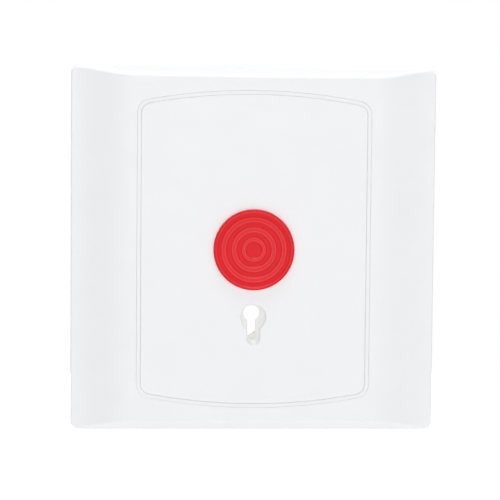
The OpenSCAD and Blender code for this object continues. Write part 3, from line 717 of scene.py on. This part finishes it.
class Finish:
    """One material. Constants go straight onto the Principled shader's sockets."""

    def __init__(self, name, **constants):
        self.material = bpy.data.materials.new(name)
        self.material.use_nodes = True
        self.tree = self.material.node_tree
        self.shader = self.tree.nodes["Principled BSDF"]
        for socket, value in constants.items():
            self.feed(self.shader.inputs[socket.replace("_", " ")], value)
        self.place = self.node("ShaderNodeTexCoord", out="Object")

    def feed(self, socket, value):
        if isinstance(value, Pattern):
            self.tree.links.new(value.socket, socket)
        else:
            socket.default_value = value

    def node(self, kind, settings=None, inputs=None, out=0):
        made = self.tree.nodes.new(kind)
        for key, value in (settings or {}).items():
            setattr(made, key, value)
        for key, value in (inputs or {}).items():
            self.feed(made.inputs[key], value)
        return Pattern(self, made.outputs[out])

    def maths(self, operation, a, b=0.0):
        return self.node("ShaderNodeMath", {"operation": operation}, {0: a, 1: b})

    def noise(self, size_mm, detail, stretch=(1, 1, 1)):
        """Cloudy noise with grains of about this size, in millimetres."""
        place = self.node("ShaderNodeMapping", {}, {"Vector": self.place, "Scale": stretch})
        inputs = {"Vector": place, "Scale": 1000.0 / size_mm, "Detail": detail}
        return self.node("ShaderNodeTexNoise", {}, inputs, out="Fac")

    def between(self, pattern, low, high):
        """Maps a noise, which is mostly between 0.3 and 0.7, to a range."""
        inputs = {"Value": pattern, "From Min": 0.3, "From Max": 0.7, "To Min": low, "To Max": high}
        return self.node("ShaderNodeMapRange", {}, inputs)

    def ramp(self, pattern, none, full):
        """Smooth 0 to 1, as the pattern goes from one value to the other."""
        inputs = {"Value": pattern, "From Min": none, "From Max": full}
        return self.node("ShaderNodeMapRange", {"interpolation_type": "SMOOTHSTEP"}, inputs)

    def tint(self, pattern, low, high):
        """A colour between two, chosen by the pattern."""
        inputs = {"Factor": pattern, COLOUR_A: (*low, 1), COLOUR_B: (*high, 1)}
        return self.node("ShaderNodeMix", {"data_type": "RGBA"}, inputs, out=COLOUR_OUT)

    def blend(self, factor, colour, other):
        """One colour laid over another pattern of colours."""
        inputs = {"Factor": factor, COLOUR_A: colour, COLOUR_B: (*other, 1)}
        return self.node("ShaderNodeMix", {"data_type": "RGBA"}, inputs, out=COLOUR_OUT)

    def relief(self, height, depth_mm):
        """Bumps of this depth, too fine to be worth modelling."""
        inputs = {"Height": height, "Distance": depth_mm / 1000, "Strength": 1.0}
        self.feed(self.shader.inputs["Normal"], self.node("ShaderNodeBump", {}, inputs))


finishes = {}

# %% [markdown]
# ### Moulded plastic
#
# The cover and the button are smooth mouldings with a soft gloss, and the inner pieces have
# the fine spark-eroded texture of a plain mould. Painted pictures would have to be unwrapped
# onto each piece. Noise fits any piece as it is: the colour drifts a little, the gloss is
# patchy, and there is a fine grain. The walls of the keyhole also glow faintly, in place of
# the light that fills them in the photograph.

# %% Plastic finishes
WHITE = (1, 1, 1, 1)
# The lighter reds are painted sheen on the rings' tops and painted highlights on their edges and the
# lip.
RING_TOP_SHEEN_RED, EDGE_HIGHLIGHT_RED = (0.735, 0.022, 0.029), (0.80, 0.055, 0.060)


def shade(colour, factor):
    return tuple(min(1.0, channel * factor) for channel in colour)


def moulded(name, colour, roughness, grain_mm, grain_depth, drift=0.03, glow=0.0, shine=0.5, worn=None):
    finish = Finish(name, Specular_IOR_Level=shine, Emission_Color=WHITE, Emission_Strength=glow)
    cloud = finish.noise(size_mm=9, detail=3)
    speck = finish.noise(size_mm=0.9, detail=2)
    mottle = finish.between(cloud * 0.7 + speck * 0.3, 0.0, 1.0)
    colours = finish.tint(mottle, shade(colour, 1 - drift), shade(colour, 1 + drift / 2))
    patchy = finish.between(finish.noise(size_mm=5, detail=4), roughness - 0.05, roughness + 0.06)
    # On the button the masks lower the roughness where thumbs polish, and they paint sheen on the ring
    # tops and highlights on the edges.
    if worn:
        touched_and_sheen, edges = worn(finish)
        colours = finish.blend(touched_and_sheen, colours, RING_TOP_SHEEN_RED)
        colours = finish.blend(edges * (0.6 + speck * 0.8), colours, EDGE_HIGHLIGHT_RED)
        patchy = patchy - touched_and_sheen * 0.06
    finish.feed(finish.shader.inputs["Base Color"], colours)
    finish.feed(finish.shader.inputs["Roughness"], patchy)
    finish.relief(finish.noise(grain_mm, 2) + finish.noise(grain_mm * 6, 2) * 0.6, grain_depth)
    finishes[name] = finish.material


# %% [markdown]
# ### Wear and painted highlights on the button
#
# Thumbs polish the tops of the rings, so they are a little glossier. The tops are also painted a
# lighter red, as painted sheen. The rings' edges and the lip are painted a still lighter red, as
# painted highlights where their rounded shoulders catch the light. A mask could be painted for
# that, but the rings are round, so the distance from the axis says exactly where each one is.

# %% Wear and painted highlights on the button's rings
def ring_wear_and_highlights(finish):
    """Two masks: the touched tops of the rings, polished and painted lighter as sheen, and their edges
    and the lip, painted as highlights.
    """
    across_the_cap = {0: finish.place, 1: (1000, 0, 1000)}
    flat = finish.node("ShaderNodeVectorMath", {"operation": "MULTIPLY"}, across_the_cap)
    r = finish.node("ShaderNodeVectorMath", {"operation": "LENGTH"}, {0: flat}, out="Value")
    away = 1.0
    for ring, width in RINGS:
        inside = finish.maths("ABSOLUTE", r - ring) - (width / 2 - RING_SLOPE)
        away = finish.maths("MINIMUM", inside, away)
    touched_and_sheen = finish.ramp(away, RING_SLOPE, 0.0)
    shoulder = finish.ramp(finish.maths("ABSOLUTE", away), 0.2, 0.05)
    lip = finish.ramp(finish.maths("ABSOLUTE", r - (CAP_R - LIP_W)), 0.25, 0.05)
    return touched_and_sheen, finish.maths("MAXIMUM", shoulder, lip * 0.7)


# %% Plastics
moulded("cover_white", (0.865, 0.868, 0.88), 0.36, grain_mm=0.35, grain_depth=0.004, drift=0.015)
moulded("base_white", (0.78, 0.785, 0.79), 0.55, grain_mm=0.2, grain_depth=0.012)
moulded("guide_white", (0.43, 0.43, 0.42), 0.5, grain_mm=0.2, grain_depth=0.01, glow=0.42)
moulded("case_grey", (0.46, 0.47, 0.48), 0.6, grain_mm=0.25, grain_depth=0.02)
moulded("stem_white", (0.76, 0.76, 0.73), 0.42, grain_mm=0.2, grain_depth=0.006)
moulded(
    "button_red", (0.73, 0.0115, 0.019), 0.34, grain_mm=0.3, grain_depth=0.004,
    drift=0.04, shine=0.2, worn=ring_wear_and_highlights,
)
print("Plastics:", ", ".join(finishes))

# %% [markdown]
# ### Metals
#
# Drawn and rolled metal has fine streaks along the way it was worked. A brushed look can be
# had from an anisotropic shader as well, but noise that is stretched along one axis also
# carries the colour: zinc plating goes patchy, and copper alloys darken in clouds. The latch
# has the dull pale skin of passivated steel. A faint glow on it is painted light, standing in
# for the light that fills the keyhole.

# %% Metal finishes
def worked_metal(name, colour, dull, roughness, stretch, streak_depth, metallic=1.0, glow=0.0):
    finish = Finish(name, Metallic=metallic, Emission_Color=WHITE, Emission_Strength=glow)
    cloud = finish.noise(size_mm=3, detail=4)
    streaks = finish.noise(size_mm=0.35, detail=3, stretch=stretch)
    tone = finish.between(cloud * 0.6 + streaks * 0.4, 0.0, 1.0)
    finish.feed(finish.shader.inputs["Base Color"], finish.tint(tone, dull, colour))
    worn = finish.between(streaks * 0.5 + cloud * 0.5, roughness - 0.08, roughness + 0.12)
    finish.feed(finish.shader.inputs["Roughness"], worn)
    finish.relief(streaks, streak_depth)
    finishes[name] = finish.material


# %% Metals
ALONG_Z, EVEN = (1, 1, 0.08), (1, 1, 1)
# The latch's glow is painted light, for the light in the keyhole.
worked_metal(
    "latch_steel", (0.97, 0.95, 0.92), (0.90, 0.88, 0.84), 0.5, ALONG_Z, 0.006, metallic=0.15, glow=0.07
)
worked_metal("spring_steel", (0.62, 0.63, 0.65), (0.42, 0.42, 0.43), 0.28, EVEN, 0.003)
worked_metal("screw_steel", (0.72, 0.73, 0.74), (0.50, 0.50, 0.50), 0.33, EVEN, 0.004)
worked_metal("bronze_strip", (0.74, 0.44, 0.27), (0.50, 0.27, 0.15), 0.30, ALONG_Z, 0.003)
worked_metal("contact_silver", (0.86, 0.86, 0.84), (0.62, 0.61, 0.58), 0.25, EVEN, 0.003)
worked_metal("terminal_brass", (0.80, 0.60, 0.28), (0.55, 0.38, 0.16), 0.34, ALONG_Z, 0.004)
print("All finishes:", len(finishes))

# %% [markdown]
# ### Dressing
#
# The finish of each piece could be picked by hand, but the record already names it. One loop
# dresses the solids and another the new pieces, so a piece always looks like the solid that
# it stands for.

# %% Dress every piece
def dress(piece, slot):
    piece.data.materials.clear()
    piece.data.materials.append(finishes[slot])


new_pieces = {
    "front_cover": cover, "button_cap": cap,
    "return_spring": return_spring, "latch_spring": latch_spring, **softened_pieces,
}
for node, slot in slot_of.items():
    dress(nodes[node], slot)
for node, piece in new_pieces.items():
    dress(piece, slot_of[node])
print("Dressed", len(nodes), "CAD nodes and", len(new_pieces), "new pieces")

# %% [markdown]
# ## Stage and light
#
# The photograph has a pure white background. A white sky alone would also flood the plate
# and wash out its form. So the floor and the world are white for the camera and for
# reflections only, and the light on the object is set apart from them: a soft even sky, a
# large lamp on the camera's axis, a lamp above, weak ones at the left and the right, and one
# behind. Away from the object the floor's own glow rises to white, so its edge can't be seen
# from any side.

# %% Floor
FLOOR_Z, FLOOR_SIZE = -0.16, 1.6
LIT_GLOW = 0.54
SEEN_GLOW = {"From Min": 0.3, "From Max": 0.7, "To Min": 0.78, "To Max": 1.0}


def paint(tree, glow):
    """Matt pale paint that keeps the shadow, with a glow of this strength or pattern."""
    shader = tree.nodes.new("ShaderNodeBsdfPrincipled")
    shader.inputs["Base Color"].default_value = (0.5, 0.5, 0.5, 1)
    shader.inputs["Roughness"].default_value = 0.9
    shader.inputs["Specular IOR Level"].default_value = 0.1
    shader.inputs["Emission Color"].default_value = WHITE
    if isinstance(glow, bpy.types.NodeSocket):
        tree.links.new(glow, shader.inputs["Emission Strength"])
    else:
        shader.inputs["Emission Strength"].default_value = glow
    return shader.outputs[0]


bpy.ops.mesh.primitive_plane_add(size=FLOOR_SIZE, location=(0, 0.1, FLOOR_Z))
floor = bpy.context.object
floor.name = "floor"
floor_paint = bpy.data.materials.new("floor_paint")
floor_paint.use_nodes = True
tree = floor_paint.node_tree
tree.nodes.clear()
seen = tree.nodes.new("ShaderNodeMixShader")
tree.links.new(tree.nodes.new("ShaderNodeLightPath").outputs["Is Camera Ray"], seen.inputs[0])
away = tree.nodes.new("ShaderNodeVectorMath")
away.operation = "LENGTH"
tree.links.new(tree.nodes.new("ShaderNodeTexCoord").outputs["Object"], away.inputs[0])
fade = tree.nodes.new("ShaderNodeMapRange")
tree.links.new(away.outputs["Value"], fade.inputs["Value"])
for name, value in SEEN_GLOW.items():
    fade.inputs[name].default_value = value
tree.links.new(paint(tree, LIT_GLOW), seen.inputs[1])
tree.links.new(paint(tree, fade.outputs[0]), seen.inputs[2])
tree.links.new(seen.outputs[0], tree.nodes.new("ShaderNodeOutputMaterial").inputs["Surface"])
floor.data.materials.append(floor_paint)
print("Floor at", FLOOR_Z, "m,", FLOOR_SIZE, "m wide")

# %% World
world = bpy.data.worlds.new("studio")
bpy.context.scene.world = world
world.use_nodes = True
tree = world.node_tree
tree.nodes.clear()
sky = tree.nodes.new("ShaderNodeBackground")
sky.inputs["Color"].default_value = (0.97, 0.985, 1, 1)
sky.inputs["Strength"].default_value = 0.05
white = tree.nodes.new("ShaderNodeBackground")
white.inputs["Color"].default_value = WHITE
rays = tree.nodes.new("ShaderNodeLightPath")
either = tree.nodes.new("ShaderNodeMath")
either.operation = "MAXIMUM"
tree.links.new(rays.outputs["Is Camera Ray"], either.inputs[0])
tree.links.new(rays.outputs["Is Glossy Ray"], either.inputs[1])
mix = tree.nodes.new("ShaderNodeMixShader")
tree.links.new(either.outputs[0], mix.inputs[0])
tree.links.new(sky.outputs[0], mix.inputs[1])
tree.links.new(white.outputs[0], mix.inputs[2])
world_output = tree.nodes.new("ShaderNodeOutputWorld")
tree.links.new(mix.outputs[0], world_output.inputs["Surface"])
print("World:", len(tree.nodes), "nodes")

# %% Lamps
MIDDLE = Vector((0, 0, 0))


def lamp(name, place, size, power, glossy=True):
    """A square lamp that faces the middle of the plate. It can be left out of reflections."""
    data = bpy.data.lights.new(name, "AREA")
    data.size = size
    data.energy = power
    made = bpy.data.objects.new(name, data)
    bpy.context.scene.collection.objects.link(made)
    made.location = place
    made.rotation_euler = (MIDDLE - Vector(place)).to_track_quat("-Z", "Y").to_euler()
    made.visible_glossy = glossy
    print(name, "gives", power, "W")


lamp("top_lamp", (0, -0.08, 0.85), size=0.5, power=5.4)
lamp("front_lamp", (-0.02, -1.0, 0.08), size=0.9, power=6.15, glossy=False)
lamp("left_lamp", (-0.9, -0.7, 0.1), size=0.5, power=0.75, glossy=False)
lamp("right_lamp", (0.9, -0.7, 0.1), size=0.5, power=1.5, glossy=False)
lamp("back_lamp", (0.2, 0.9, 0.3), size=0.8, power=4.0)

# %% [markdown]
# ## The view transform
#
# Other view transforms would turn the white background grey, and Standard keeps it white.

# %% View transform
bpy.context.scene.view_settings.view_transform = "Standard"
